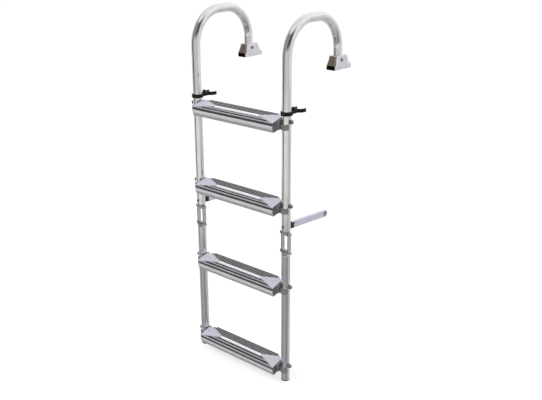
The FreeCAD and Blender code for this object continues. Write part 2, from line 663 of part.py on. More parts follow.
os.makedirs("parts", exist_ok=True)
for name, shape in build().items():
    if not shape.isValid():
        raise ValueError(name + " is not a valid shape")
    shape.exportStep(os.path.join("parts", name + ".step"))
    print(name, len(shape.Solids), round(shape.Volume))
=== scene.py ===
"""Looks of the folding bow ladder: polished tubes, ribbed treads, fold links, clips and stand-off arms.

Every length is in metres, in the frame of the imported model: X along the treads, Y towards the boat, Z up.
"""

import logging
from dataclasses import dataclass, field
from enum import Enum
from functools import cache
from math import copysign, cos, pi, radians, sin, sqrt
from typing import Callable, Sequence

import bmesh
import bpy
from mathutils import Euler, Matrix, Vector


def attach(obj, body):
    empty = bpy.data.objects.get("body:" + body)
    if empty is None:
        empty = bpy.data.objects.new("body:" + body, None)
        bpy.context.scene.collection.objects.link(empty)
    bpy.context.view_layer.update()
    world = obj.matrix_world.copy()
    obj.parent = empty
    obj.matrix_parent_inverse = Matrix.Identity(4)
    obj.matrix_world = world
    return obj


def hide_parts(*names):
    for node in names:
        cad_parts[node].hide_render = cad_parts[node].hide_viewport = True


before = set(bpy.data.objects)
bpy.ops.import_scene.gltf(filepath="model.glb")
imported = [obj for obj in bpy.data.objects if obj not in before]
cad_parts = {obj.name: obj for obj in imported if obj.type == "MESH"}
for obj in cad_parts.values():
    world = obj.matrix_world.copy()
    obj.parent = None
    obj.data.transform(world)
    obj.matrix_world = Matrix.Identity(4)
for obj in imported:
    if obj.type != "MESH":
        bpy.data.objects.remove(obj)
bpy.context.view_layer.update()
LOG = logging.getLogger("ladder")
MM = 0.001
X_AXIS, Y_AXIS, Z_AXIS = Vector((1, 0, 0)), Vector((0, 1, 0)), Vector((0, 0, 1))

Pair = tuple[float, float]
Triple = tuple[float, float, float]
Band = tuple[Pair, tuple[Triple, ...]]
Profile = tuple[Pair, ...]
Section = Callable[[float, float], float]
Loop = list[bmesh.types.BMVert]
Mesh = bmesh.types.BMesh
Material = bpy.types.Material
Node = bpy.types.Node
Socket = bpy.types.NodeSocket
Tree = bpy.types.NodeTree


class Side(Enum):
    """The two sides of the ladder."""

    LEFT = ("left", 0.0, -1.0)
    RIGHT = ("right", 0.324, 1.0)

    def __init__(self, word: str, x: float, out: float) -> None:
        """Take a side's values.

        Args:
            word: how the names of its nodes start.
            x: the X of its stile's axis.
            out: +1 or -1, the direction along X away from the treads.
        """
        self.word = word
        self.x = x
        self.out = out


class Body(Enum):
    """The rigid bodies that pieces ride on."""

    UPPER = "upper_section"
    LOWER = "lower_section"
    LINKS = "hinge_links"
    LEFT_ARM = "left_arm"
    RIGHT_ARM = "right_arm"


# Sizes that several classes share

TUBE_RADIUS = 12.7 * MM
TUBE_BORE = 11.2 * MM
STILE_Y = -218.0 * MM
UPPER_BOLT_Z = -416.0 * MM
LOWER_BOLT_Z = -471.0 * MM
TUBE_END_GAP = 8.5 * MM
FOOT_Z = -874.0 * MM
STEP_Z = (-104.0 * MM, -335.0 * MM, -574.0 * MM, -827.0 * MM)
UPPER_STEPS = 2
TREAD_START = 15.9 * MM
TREAD_TILT = radians(14.0)


def body_of_step(step: int) -> Body:
    """The body that a tread belongs to, by its number from the top."""
    return Body.UPPER if step <= UPPER_STEPS else Body.LOWER


# Node groups


def feed(tree: Tree, socket: Socket, value: object) -> None:
    """Link an input or set it.

    Args:
        tree: its node tree.
        socket: the input.
        value: an output socket, a number, a vector, or a colour without alpha.
    """
    if isinstance(value, Socket):
        tree.links.new(value, socket)
    else:
        socket.default_value = (*value, 1.0) if socket.type == "RGBA" else value


def fed(tree: Tree, node: Node, **inputs: object) -> Node:
    """Feed a node's inputs.

    Args:
        tree: the node's tree.
        node: the node.
        inputs: what feed() takes for each input, named with underscores for spaces.

    Returns:
        The node.
    """
    for key, value in inputs.items():
        feed(tree, node.inputs[key.replace("_", " ")], value)
    return node


def added(tree: Tree, kind: str, **inputs: object) -> Node:
    """Add a shader node of a kind, and feed its inputs as fed() does."""
    return fed(tree, tree.nodes.new("ShaderNode" + kind), **inputs)


def wired(tree: Tree, node: Node, *values: object) -> Socket:
    """Feed a node's inputs in their order.

    Args:
        tree: the node's tree.
        node: the node.
        values: what feed() takes for each input.

    Returns:
        The node's first output.
    """
    for socket, value in zip(node.inputs, values):
        feed(tree, socket, value)
    return node.outputs[0]


def maths(tree: Tree, operation: str, *values: float | Socket) -> Socket:
    """Add a Math node.

    Args:
        tree: the node tree.
        operation: the Math node's operation.
        values: a socket or a number for each of its inputs.

    Returns:
        The node's output.
    """
    node = added(tree, "Math")
    node.operation = operation
    return wired(tree, node, *values)


def stretched_place(tree: Tree, scale: Triple) -> Socket:
    """The object's own coordinates with each axis scaled, for a texture that is longer one way."""
    place = added(tree, "TexCoord").outputs["Object"]
    return added(tree, "Mapping", Scale=scale, Vector=place).outputs["Vector"]


def noise(tree: Tree, vector: Socket, scale: float | Socket, detail: float) -> Socket:
    """Add a Noise texture at a place, with its scale and how many layers it has."""
    return added(tree, "TexNoise", Vector=vector, Scale=scale, Detail=detail).outputs["Fac"]


def spread(tree: Tree, value: Socket, low: float, high: float) -> Socket:
    """Stretch a value so that low becomes 0 and high becomes 1, with a smooth step.

    Args:
        tree: the node tree.
        value: the socket to stretch.
        low: the value that becomes 0.
        high: the value that becomes 1.

    Returns:
        The stretched value's socket.
    """
    node = added(tree, "MapRange")
    node.interpolation_type = "SMOOTHSTEP"
    return fed(tree, node, From_Min=low, From_Max=high, Value=value).outputs["Result"]


def mixed(tree: Tree, mask: Socket, low: Triple | Socket, high: Triple | Socket) -> Socket:
    """Mix two colours by a mask.

    Args:
        tree: the node tree.
        mask: the mask's socket.
        low: the colour where the mask is 0.
        high: the colour where the mask is 1.

    Returns:
        The mixed colour's socket.
    """
    node = added(tree, "Mix")
    node.data_type = "RGBA"
    return fed(tree, node, Factor=mask, A=low, B=high).outputs["Result"]


def new_group(name: str, outputs: Sequence[str], **inputs: float) -> tuple[Tree, Node, Node]:
    """Make an empty shader node group with float sockets.

    Args:
        name: the group's name.
        outputs: the outputs' names.
        inputs: each input's default value, named with underscores for spaces.

    Returns:
        The node tree, its Group Input node and its Group Output node.
    """
    tree = bpy.data.node_groups.new(name, "ShaderNodeTree")
    for key, value in inputs.items():
        label = key.replace("_", " ")
        socket = tree.interface.new_socket(name=label, in_out="INPUT", socket_type="NodeSocketFloat")
        socket.default_value = value
    for key in outputs:
        tree.interface.new_socket(name=key, in_out="OUTPUT", socket_type="NodeSocketFloat")
    return tree, tree.nodes.new("NodeGroupInput"), tree.nodes.new("NodeGroupOutput")


@cache
def handling_marks_group() -> Tree:
    """Soft smudges from hands and dried water.

    Returns:
        The group, with inputs Patch Scale, Clean and Smudged, and outputs Mask and Roughness.
    """
    inputs = {"Patch_Scale": 40.0, "Clean": 0.15, "Smudged": 0.25}
    tree, start, end = new_group("handling_marks", ("Mask", "Roughness"), **inputs)
    patches = noise(tree, stretched_place(tree, (1.0, 1.0, 0.6)), start.outputs["Patch Scale"], 4.0)
    mask = spread(tree, patches, 0.42, 0.68)
    span = maths(tree, "SUBTRACT", start.outputs["Smudged"], start.outputs["Clean"])
    rough = maths(tree, "MULTIPLY_ADD", mask, span, start.outputs["Clean"])
    fed(tree, end, Mask=mask, Roughness=rough)
    return tree


@cache
def polishing_lines_group() -> Tree:
    """Fine lines that polishing leaves round a bar or tube.

    Returns:
        The group, with input Line Scale and output Height.
    """
    tree, start, end = new_group("polishing_lines", ("Height",), Line_Scale=900.0)
    place = stretched_place(tree, (0.06, 0.06, 1.0))
    fed(tree, end, Height=noise(tree, place, start.outputs["Line Scale"], 3.0))
    return tree


@cache
def moulded_grain_group() -> Tree:
    """A moulded surface's grain, and the clouding of its colour.

    Returns:
        The group, with input Grain Scale and outputs Height and Cloud.
    """
    tree, start, end = new_group("moulded_grain", ("Height", "Cloud"), Grain_Scale=1200.0)
    place = stretched_place(tree, (1.0, 1.0, 1.0))
    grain = noise(tree, place, start.outputs["Grain Scale"], 2.0)
    fed(tree, end, Height=grain, Cloud=spread(tree, noise(tree, place, 35.0, 5.0), 0.3, 0.7))
    return tree


@cache
def rubbed_edges_group() -> Tree:
    """Edges rubbed bright, from how sharply the surface turns.

    Returns:
        The group, with input Amount and output Mask.
    """
    tree, start, end = new_group("rubbed_edges", ("Mask",), Amount=0.6)
    edge = spread(tree, added(tree, "NewGeometry").outputs["Pointiness"], 0.51, 0.58)
    broken = spread(tree, noise(tree, stretched_place(tree, (1.0, 1.0, 1.0)), 160.0, 3.0), 0.3, 0.6)
    worn = maths(tree, "MULTIPLY", edge, broken)
    fed(tree, end, Mask=maths(tree, "MULTIPLY", worn, start.outputs["Amount"]))
    return tree


# Finishes


class NodeWriter:
    """Builds one material's nodes."""

    def __init__(self, name: str) -> None:
        """Start a material.

        Args:
            name: its name.
        """
        self.material = bpy.data.materials.new(name)
        self.material.use_nodes = True
        self.tree = self.material.node_tree
        self.surface = self.tree.nodes["Principled BSDF"]

    def give(self, **inputs: object) -> None:
        """Feed the shader's own inputs as fed() does."""
        fed(self.tree, self.surface, **inputs)

    def place(self, group: Tree, **inputs: float) -> bpy.types.NodeOutputs:
        """Put a group in the material.

        Args:
            group: the group's tree.
            inputs: its inputs as fed() takes them.

        Returns:
            The group node's outputs.
        """
        node = added(self.tree, "Group")
        node.node_tree = group
        return fed(self.tree, node, **inputs).outputs

    def relief(self, height: Socket, strength: float, distance: float) -> None:
        """Add a bump of a strength and a depth in metres."""
        bump = added(self.tree, "Bump", Strength=strength, Distance=distance, Height=height)
        self.give(Normal=bump.outputs["Normal"])


@dataclass(frozen=True)
class Metal:
    """A bare metal finish, polished or satin."""

    name: str
    colour: Triple
    dulled: Triple
    clean: float
    smudged: float
    patch_scale: float = 40.0
    line_scale: float = 900.0
    line_strength: float = 0.06
    edge_amount: float = 0.0
    edge_gain: float = 1.25
    line_depth: float = 0.2 * MM

    def made(self) -> Material:
        """Build the material.

        Returns:
            The material.
        """
        writer = NodeWriter(self.name)
        writer.give(Metallic=1.0)
        wear = {"Patch_Scale": self.patch_scale, "Clean": self.clean, "Smudged": self.smudged}
        marks = writer.place(handling_marks_group(), **wear)
        lines = writer.place(polishing_lines_group(), Line_Scale=self.line_scale)
        base = mixed(writer.tree, marks["Mask"], self.colour, self.dulled)
        if self.edge_amount > 0:
            edges = writer.place(rubbed_edges_group(), Amount=self.edge_amount)
            bright = tuple(min(1.0, c * self.edge_gain) for c in self.colour)
            base = mixed(writer.tree, edges["Mask"], base, bright)
        writer.give(Base_Color=base, Roughness=marks["Roughness"])
        writer.relief(lines["Height"], self.line_strength, self.line_depth)
        return writer.material


@dataclass(frozen=True)
class Moulding:
    """A moulded plastic or rubber finish."""

    name: str
    colour: Triple
    clouded: Triple
    worn: Triple
    specular: float = 0.35
    clean: float = 0.42
    smudged: float = 0.6
    grain_scale: float = 1200.0
    grain_strength: float = 0.12
    grain_depth: float = 0.3 * MM
    patch_scale: float = 28.0
    edge_amount: float = 0.5

    def made(self) -> Material:
        """Build the material.

        Returns:
            The material.
        """
        writer = NodeWriter(self.name)
        writer.give(Specular_IOR_Level=self.specular)
        wear = {"Patch_Scale": self.patch_scale, "Clean": self.clean, "Smudged": self.smudged}
        marks = writer.place(handling_marks_group(), **wear)
        grain = writer.place(moulded_grain_group(), Grain_Scale=self.grain_scale)
        edges = writer.place(rubbed_edges_group(), Amount=self.edge_amount)
        base = mixed(writer.tree, grain["Cloud"], self.colour, self.clouded)
        base = mixed(writer.tree, edges["Mask"], base, self.worn)
        writer.give(Base_Color=base, Roughness=marks["Roughness"])
        writer.relief(grain["Height"], self.grain_strength, self.grain_depth)
        return writer.material


class Finish(Enum):
    """Every finish of the ladder, with its recipe."""

    TUBE = Metal("polished_tube", (0.84, 0.83, 0.825), (0.79, 0.78, 0.775), 0.06, 0.12)
    CASTING = Metal("polished_casting", (0.8, 0.79, 0.8), (0.74, 0.73, 0.735), 0.07, 0.13, 60, 600, 0.04)
    # Painted dark reflection: a near-black copy of the polished casting, for the casting's faces below the
    # flange's top that face along Y.
    CASTING_DARK_REFLECTION = Metal("casting_painted_dark_reflection", (0.12, 0.119, 0.112), (0.1, 0.099, 0.093), 0.09, 0.15, 60, 600, 0.04)
    LINK_STEEL = Metal("link_steel", (0.92, 0.91, 0.93), (0.84, 0.83, 0.85), 0.2, 0.32, 80, 900, 0.08, 0.5)
    LINK_BAR = Metal("link_bar", (0.62, 0.605, 0.63), (0.52, 0.51, 0.53), 0.1, 0.2, 80, 900, 0.05, 0.4)
    FASTENER = Metal(
        "plain_fastener", (0.82, 0.81, 0.84), (0.7, 0.69, 0.72), 0.18, 0.3, 120, 1200, 0.05, 0.6
    )
    EYELET = Metal("dull_eyelet", (0.34, 0.335, 0.37), (0.27, 0.265, 0.3), 0.3, 0.42, 120, 1200, 0.05, 0.4)
    NUT = Metal("dark_nut", (0.36, 0.355, 0.385), (0.28, 0.275, 0.3), 0.24, 0.38, 120, 1200, 0.05, 0.6)
    ARM = Metal("satin_arm", (0.83, 0.8, 0.92), (0.77, 0.74, 0.86), 0.32, 0.46, 50, 1500, 0.1, 0.2)
    PAD = Moulding("smooth_pad", (0.57, 0.57, 0.66), (0.52, 0.52, 0.61), (0.72, 0.72, 0.8))
    # Painted highlight: the raised ridge across each tread is near-white so that it shows as a bright line
    # of reflected light.
    RIDGE_HIGHLIGHT = Moulding("ridge_painted_highlight", (0.93, 0.93, 0.96), (0.89, 0.89, 0.93), (0.97, 0.97, 0.98))
    FRONT_RIBS = Moulding("front_ribs", (0.39, 0.39, 0.41), (0.33, 0.33, 0.35), (0.5, 0.5, 0.53))
    RIBS = Moulding("ribbed_back", (0.3, 0.3, 0.307), (0.25, 0.25, 0.257), (0.38, 0.38, 0.39))
    GROOVE = Moulding("tread_groove", (0.06, 0.06, 0.064), (0.047, 0.047, 0.05), (0.11, 0.11, 0.113), 0.3)
    BACK_GROOVE = Moulding("back_groove", (0.12, 0.12, 0.124), (0.1, 0.1, 0.103), (0.19, 0.19, 0.195), 0.3)
    NOSE = Moulding("tread_nose", (0.59, 0.59, 0.6), (0.53, 0.53, 0.54), (0.68, 0.68, 0.69))
    APRON = Moulding("tread_apron", (0.37, 0.37, 0.377), (0.32, 0.32, 0.326), (0.46, 0.46, 0.47))
    TREAD_END = Moulding("tread_end", (0.145, 0.14, 0.168), (0.12, 0.116, 0.138), (0.24, 0.235, 0.265), 0.3)
    UNDERSIDE = Moulding("tread_underside", (0.2, 0.2, 0.205), (0.17, 0.17, 0.174), (0.3, 0.3, 0.305))
    COLLAR = Moulding("collar_grey", (0.2, 0.197, 0.193), (0.165, 0.163, 0.159), (0.32, 0.317, 0.31))
    BLACK = Moulding(
        "black_moulding", (0.008, 0.0075, 0.0095), (0.012, 0.0115, 0.0135), (0.04, 0.04, 0.043),
        0.2, 0.5, 0.66,
    )
    RUBBER = Moulding("foot_rubber", (0.012, 0.012, 0.013), (0.02,) * 3, (0.05,) * 3, 0.2, 0.6, 0.8)


@cache
def material_of(finish: Finish) -> Material:
    """The material of a finish, made the first time that it is asked for."""
    return finish.value.made()


# Mesh work


def in_mm(*points: Pair) -> Profile:
    """A profile whose points are given in millimetres."""
    return tuple((radius * MM, along * MM) for radius, along in points)


def chain(mesh: Mesh, loops: Sequence[Loop], closed: bool = False) -> None:
    """Join loops of the same length with quads, each to the next.

    Args:
        mesh: the mesh that they are in.
        loops: the loops, with their vertices in the same order.
        closed: whether the last one is joined to the first too.
    """
    following = [*loops[1:], loops[0]] if closed else loops[1:]
    for first, second in zip(loops, following):
        for k, corner in enumerate(first):
            after = (k + 1) % len(first)
            mesh.faces.new((corner, first[after], second[after], second[k]))


def ring(
    mesh: Mesh, centre: Vector, u: Vector, v: Vector, radius: float, count: int, shape: Section | None = None
) -> Loop:
    """A loop of vertices, round unless a shape is given.

    Args:
        mesh: the mesh.
        centre: its centre.
        u: the unit direction of its first vertex.
        v: the unit direction a quarter turn on.
        radius: its radius.
        count: how many vertices it has.
        shape: gives the real radius for an angle and this radius, where the loop isn't round.

    Returns:
        The vertices in order.
    """
    loop = []
    for k in range(count):
        t = 2 * pi * k / count
        r = shape(t, radius) if shape else radius
        loop.append(mesh.verts.new(centre + r * (cos(t) * u + sin(t) * v)))
    return loop


def turned(
    mesh: Mesh, start: Vector, axis: Vector, profile: Profile, count: int = 40, shape: Section | None = None
) -> None:
    """Add a turned solid.

    Args:
        mesh: the mesh.
        start: the point on its axis where the profile's lengths are counted from.
        axis: its unit direction.
        profile: (radius, length along the axis) from one end to the other; both ends are closed.
        count: how many vertices each ring has.
        shape: what ring() takes, where the section isn't round.
    """
    u = axis.orthogonal().normalized() if abs(axis.x) < 0.9 else Y_AXIS
    v = axis.cross(u).normalized()
    rings = [ring(mesh, start + along * axis, u, v, radius, count, shape) for radius, along in profile]
    mesh.faces.new(list(reversed(rings[0])))
    chain(mesh, rings)
    mesh.faces.new(rings[-1])


def two_headed(head: Profile, shank: float, length: float) -> Profile:
    """A pin's profile: a head, a plain shank, and the same head the other way round.

    Args:
        head: the head's profile from its outer end.
        shank: the shank's radius.
        length: the whole pin's length.

    Returns:
        The profile that turned() takes.
    """
    inner = head[-1][1]
    other = [(radius, length - along) for radius, along in reversed(head)]
    return (*head, (shank, inner), (shank, length - inner), *other)


def dome(radius: float, base: float, height: float, sweep: float, steps: int) -> Profile:
    """A dome's profile.

    Args:
        radius: its radius at the base.
        base: where it starts along the axis.
        height: its height.
        sweep: how many degrees of the quarter turn it takes.
        steps: how many steps it has.

    Returns:
        The profile that turned() takes.
    """
    turns = [radians(sweep * k / steps) for k in range(steps + 1)]
    return tuple((radius * cos(t), base + height * sin(t)) for t in turns)


def cap_nut(
    mesh: Mesh, seat: Vector, axis: Vector, corner: float, levels: Sequence[float], end: Profile
) -> None:
    """Add a chamfered hexagon with a domed end.

    Args:
        mesh: the mesh.
        seat: the centre of the face that it sits on.
        axis: the unit direction that it points in.
        corner: the radius of the hexagon's corners.
        levels: the heights of the hexagon's four rings.
        end: the end's profile.
    """
    flat = corner * cos(pi / 6)

    def section(turn: float, limit: float) -> float:
        """The hexagon's radius at a turn, but never beyond the ring's own."""
        off_flat = (turn + pi / 6) % (pi / 3) - pi / 6
        return min(flat / cos(off_flat), limit) if limit >= flat else limit

    turned(mesh, seat, axis, tuple(zip((flat, corner, corner, flat), levels)), 48, section)
    turned(mesh, seat, axis, end)


def rounded_rectangle(turn: float, half: float, front: float, back: float, corner: float) -> Pair:
    """A point on a rounded rectangle, seen from the tube's axis inside it.

    Args:
        turn: the direction of the point, 0 along +X.
        half: half the width along X.
        front: how far it reaches towards -Y.
        back: how far it reaches towards +Y.
        corner: the radius of its corners.

    Returns:
        The point's X and Y.
    """
    c, s = cos(turn), sin(turn)
    reach_y = back if s > 0 else front
    distance = min(half / max(abs(c), 1e-9), reach_y / max(abs(s), 1e-9))
    x, y = distance * c, distance * s
    inner_x, inner_y = half - corner, reach_y - corner
    if abs(x) > inner_x and abs(y) > inner_y:
        cx, cy = copysign(inner_x, x), copysign(inner_y, y)
        b = c * cx + s * cy
        root = b * b - (cx * cx + cy * cy - corner * corner)
        distance = b + sqrt(max(0.0, root))
        x, y = distance * c, distance * s
    return x, y


def linked(name: str, data: bpy.types.ID) -> bpy.types.Object:
    """Make an object and link it to the scene.

    Args:
        name: its name.
        data: its mesh, lamp or camera.

    Returns:
        The object.
    """
    made = bpy.data.objects.new(name, data)
    bpy.context.scene.collection.objects.link(made)
    return made


@dataclass
class Piece:
    """One visible piece: a mesh on a body, with the name of its object and the record's material slot."""

    name: str
    body: Body
    slot: str
    mesh: Mesh = field(default_factory=bmesh.new)

    def placed(
        self, finishes: Sequence[Finish], nodes: Sequence[str] = (), sharp: float = 40.0,
        weighted: bool = True,
    ) -> None:
        """Turn the mesh into an object, smooth it, dress it and put it on its body.

        Args:
            finishes: the object's finishes, in the order of the faces' indices.
            nodes: the CAD nodes that it stands for.
            sharp: the angle in degrees from which an edge is sharp.
            weighted: whether large faces decide the normals.
        """
        bmesh.ops.recalc_face_normals(self.mesh, faces=self.mesh.faces)
        for face in self.mesh.faces:
            face.smooth = True
        data = bpy.data.meshes.new(self.name)
        self.mesh.to_mesh(data)
        self.mesh.free()
        for finish in finishes:
            data.materials.append(material_of(finish))
        data.set_sharp_from_angle(angle=radians(sharp))
        made = linked(self.name, data)
        if weighted:
            modifier = made.modifiers.new("even_normals", "WEIGHTED_NORMAL")
            modifier.keep_sharp = True
        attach(made, self.body.value)
        if nodes:
            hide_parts(*nodes)
        LOG.info("placed %s on %s", self.name, self.body.value)


@dataclass
class SoftenedPiece(Piece):
    """A copy of a CAD node with its edges rounded off."""

    node: str = ""
    seam: float = 0.003 * MM
    flat_angle: float = radians(0.6)
    speck: float = 0.001 * MM

    def __post_init__(self) -> None:
        """Copy the node's mesh and join it up into flat faces."""
        self.mesh.from_mesh(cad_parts[self.node].data)
        verts, edges = self.mesh.verts, self.mesh.edges
        bmesh.ops.remove_doubles(self.mesh, verts=verts, dist=self.seam)
        bmesh.ops.dissolve_limit(self.mesh, angle_limit=self.flat_angle, verts=verts, edges=edges)
        for face in self.mesh.faces:
            face.material_index = 0

    def rounded(self, width: float, segments: int = 2, angle: float = 30.0) -> None:
        """Round off the edges.

        Args:
            width: the width of the rounding, in metres.
            segments: how many faces it has.
            angle: the least angle in degrees of an edge that is rounded.
        """
        least = radians(angle)
        edges = [e for e in self.mesh.edges if len(e.link_faces) == 2 and e.calc_face_angle(0.0) > least]
        bmesh.ops.bevel(
            self.mesh, geom=edges, offset=width, segments=segments, profile=0.5, affect="EDGES", material=-1
        )
        bmesh.ops.remove_doubles(self.mesh, verts=self.mesh.verts, dist=self.speck)


# Sub-assemblies


def soften(
    node: str, name: str, body: Body, slot: str, finish: Finish, width: float, segments: int = 2,
    angle: float = 40.0,
) -> None:
    """Make a piece that is one CAD node with its edges rounded off.

    Args:
        node: the CAD node.
        name: the object's name.
        body: the body that it rides on.
        slot: the record's material slot.
        finish: its finish.
        width: the width of the rounding, in metres.
        segments: how many faces the rounding has.
        angle: the least angle in degrees of an edge that is rounded.
    """
    piece = SoftenedPiece(name, body, slot, node=node)
    piece.rounded(width, segments, angle)
    piece.placed([finish], [node])


@dataclass
class Stiles:
    """The two tubes of each side: the hooked upper one and the straight lower one."""

    bend: float = 93.0 * MM
    top_z: float = 149.0 * MM
    leg_end: float = 6.0 * MM
    rim: float = 0.35 * MM
    around: int = 72
    bend_steps: int = 40

    def upper_path(self) -> list[tuple[Vector, Vector]]:
        """The centre line of the hooked tube.

        Returns:
            (point, direction) pairs from the fold to the deck, in the plane of X = 0.
        """
        base = self.top_z - self.bend
        first = Vector((0, STILE_Y + self.bend, base))
        second = Vector((0, -self.bend, base))
        path = [(Vector((0, STILE_Y, UPPER_BOLT_Z + TUBE_END_GAP)), Z_AXIS)]
        for centre, begin in ((first, 0.0), (second, 90.0)):
            for k in range(self.bend_steps + 1):
                t = radians(begin + 90.0 * k / self.bend_steps)
                out = Vector((0, -cos(t), sin(t)))
                path.append((centre + self.bend * out, Vector((0, sin(t), cos(t)))))
        path.append((Vector((0, 0, self.leg_end)), -Z_AXIS))
        return path

    def swept(self, piece: Piece, x: float, path: Sequence[tuple[Vector, Vector]]) -> None:
        """Sweep the tube's wall along a path, with a rounded rim at each end.

        Args:
            piece: the piece that it goes in.
            x: the X of the tube's axis.
            path: (point, direction) pairs.
        """

        def hoop(point: Vector, way: Vector, radius: float, back: float = 0.0) -> Loop:
            """A ring of the tube, moved along its way."""
            up = way.cross(X_AXIS).normalized()
            return ring(piece.mesh, x * X_AXIS + point + back * way, X_AXIS, up, radius, self.around)

        rim = self.rim
        end = ((TUBE_BORE, rim), (TUBE_BORE + rim, 0.0), (TUBE_RADIUS - rim, 0.0), (TUBE_RADIUS, rim))
        loops = [hoop(*path[0], radius, back) for radius, back in end]
        loops += [hoop(*place, TUBE_RADIUS) for place in path[1:-1]]
        loops += [hoop(*path[-1], radius, -back) for radius, back in reversed(end)]
        loops += [hoop(*place, TUBE_BORE) for place in reversed(path[1:-1])]
        chain(piece.mesh, loops, closed=True)

    def build(self) -> None:
        """Make all four tubes."""
        levels = (LOWER_BOLT_Z - TUBE_END_GAP, (LOWER_BOLT_Z + FOOT_Z) / 2, FOOT_Z)
        straight = [(Vector((0, STILE_Y, z)), -Z_AXIS) for z in levels]
        tubes = (
            ("_hooked_tube", "_upper_stile", Body.UPPER, self.upper_path()),
            ("_lower_tube", "_lower_stile", Body.LOWER, straight),
        )
        for side in Side:
            for name, node, body, path in tubes:
                piece = Piece(side.word + name, body, "stainless_tube")
                self.swept(piece, side.x, path)
                piece.placed([Finish.TUBE], [side.word + node], weighted=False)


@dataclass
class DeckSockets:
    """The castings on the deck that take the hooks' free legs, with their cross pins."""

    half: float = 15.5 * MM
    front: float = 31.0 * MM
    back: float = 43.5 * MM
    flange: float = 12.0 * MM
    height: float = 38.0 * MM
    top_half: float = 14.7 * MM
    top_front: float = 20.0 * MM
    top_back: float = 25.0 * MM
    corner: float = 2.6 * MM
    bore_clearance: float = 0.05 * MM
    bore_floor: float = 6.0 * MM
    mouth_bevel: float = 0.3 * MM
    upright: float = 0.8
    pin_z: float = 26.0 * MM
    pin_radius: float = 3.0 * MM
    pin_reach: float = 2.5 * MM
    pin_head: Profile = in_mm((1.575, 0.0), (3.24, 0.35), (4.185, 1.0), (4.5, 1.7), (4.5, 2.8))
    around: int = 144

    def outline(self, piece: Piece, x: float, z: float, inset: float, share: float) -> Loop:
        """One level of the casting.

        Args:
            piece: the piece that it goes in.
            x: the X of the tube's axis.
            z: the level.
            inset: how far it is drawn in, in metres.
            share: 0 for the flange's outline and 1 for the top's.

        Returns:
            The loop of vertices.
        """
        half = self.half + (self.top_half - self.half) * share - inset
        front = self.front + (self.top_front - self.front) * share - inset
        back = self.back + (self.top_back - self.back) * share - inset
        loop = []
        for k in range(self.around):
            turn = 2 * pi * k / self.around
            px, py = rounded_rectangle(turn, half, front, back, self.corner)
            loop.append(piece.mesh.verts.new((x + px, py, z)))
        return loop

    def casting(self, side: Side) -> None:
        """Make one casting: flange, sloped shoulders, soft edges and the bore for the leg.

        Args:
            side: which side's.
        """
        piece = Piece(side.word + "_socket_casting", Body.UPPER, "cast_stainless")
        x = side.x
        levels = [
            (0.0, 0.5 * MM, 0.0),
            (0.5 * MM, 0.0, 0.0),
            (self.flange - 1.2 * MM, 0.0, 0.0),
            (self.flange - 0.4 * MM, 0.25 * MM, 0.0),
            (self.flange + 0.6 * MM, 0.35 * MM, 0.03),
            (self.height - 2.2 * MM, 0.0, 0.93),
            (self.height - 1.2 * MM, 0.3 * MM, 0.97),
            (self.height - 0.4 * MM, 0.9 * MM, 0.99),
            (self.height, 1.9 * MM, 1.0),
        ]
        loops = [self.outline(piece, x, z, inset, share) for z, inset, share in levels]
        bore = TUBE_RADIUS + self.bore_clearance
        throat = self.height - self.mouth_bevel
        for z, radius in ((self.height, bore + self.mouth_bevel), (throat, bore), (self.bore_floor, bore)):
            centre = Vector((x, 0, z))
            loops.append(ring(piece.mesh, centre, X_AXIS, Y_AXIS, radius, self.around))
        chain(piece.mesh, loops)
        piece.mesh.faces.new(loops[-1])
        piece.mesh.faces.new(list(reversed(loops[0])))
        # Faces below the flange's top that face along Y take the near-black copy of the casting metal, a
        # painted dark reflection.
        for face in piece.mesh.faces:
            face.normal_update()
            low = face.calc_center_median().z < self.flange
            face.material_index = int(low and abs(face.normal.y) > self.upright)
        piece.placed([Finish.CASTING, Finish.CASTING_DARK_REFLECTION], [side.word + "_deck_socket"])

    def pin(self, side: Side) -> None:
        """Make one cross pin, with a domed head in a shallow seat on each face.

        Args:
            side: which side's.
        """
        piece = Piece(side.word + "_cross_pin", Body.UPPER, "fasteners")
        reach = self.half + self.pin_reach
        profile = two_headed(self.pin_head, self.pin_radius, 2 * reach)
        turned(piece.mesh, Vector((side.x - reach, 0, self.pin_z)), X_AXIS, profile)
        piece.placed([Finish.NUT], [side.word + "_socket_pin"])

    def build(self) -> None:
        """Make both castings and their pins."""
        for side in Side:
            self.casting(side)
            self.pin(side)


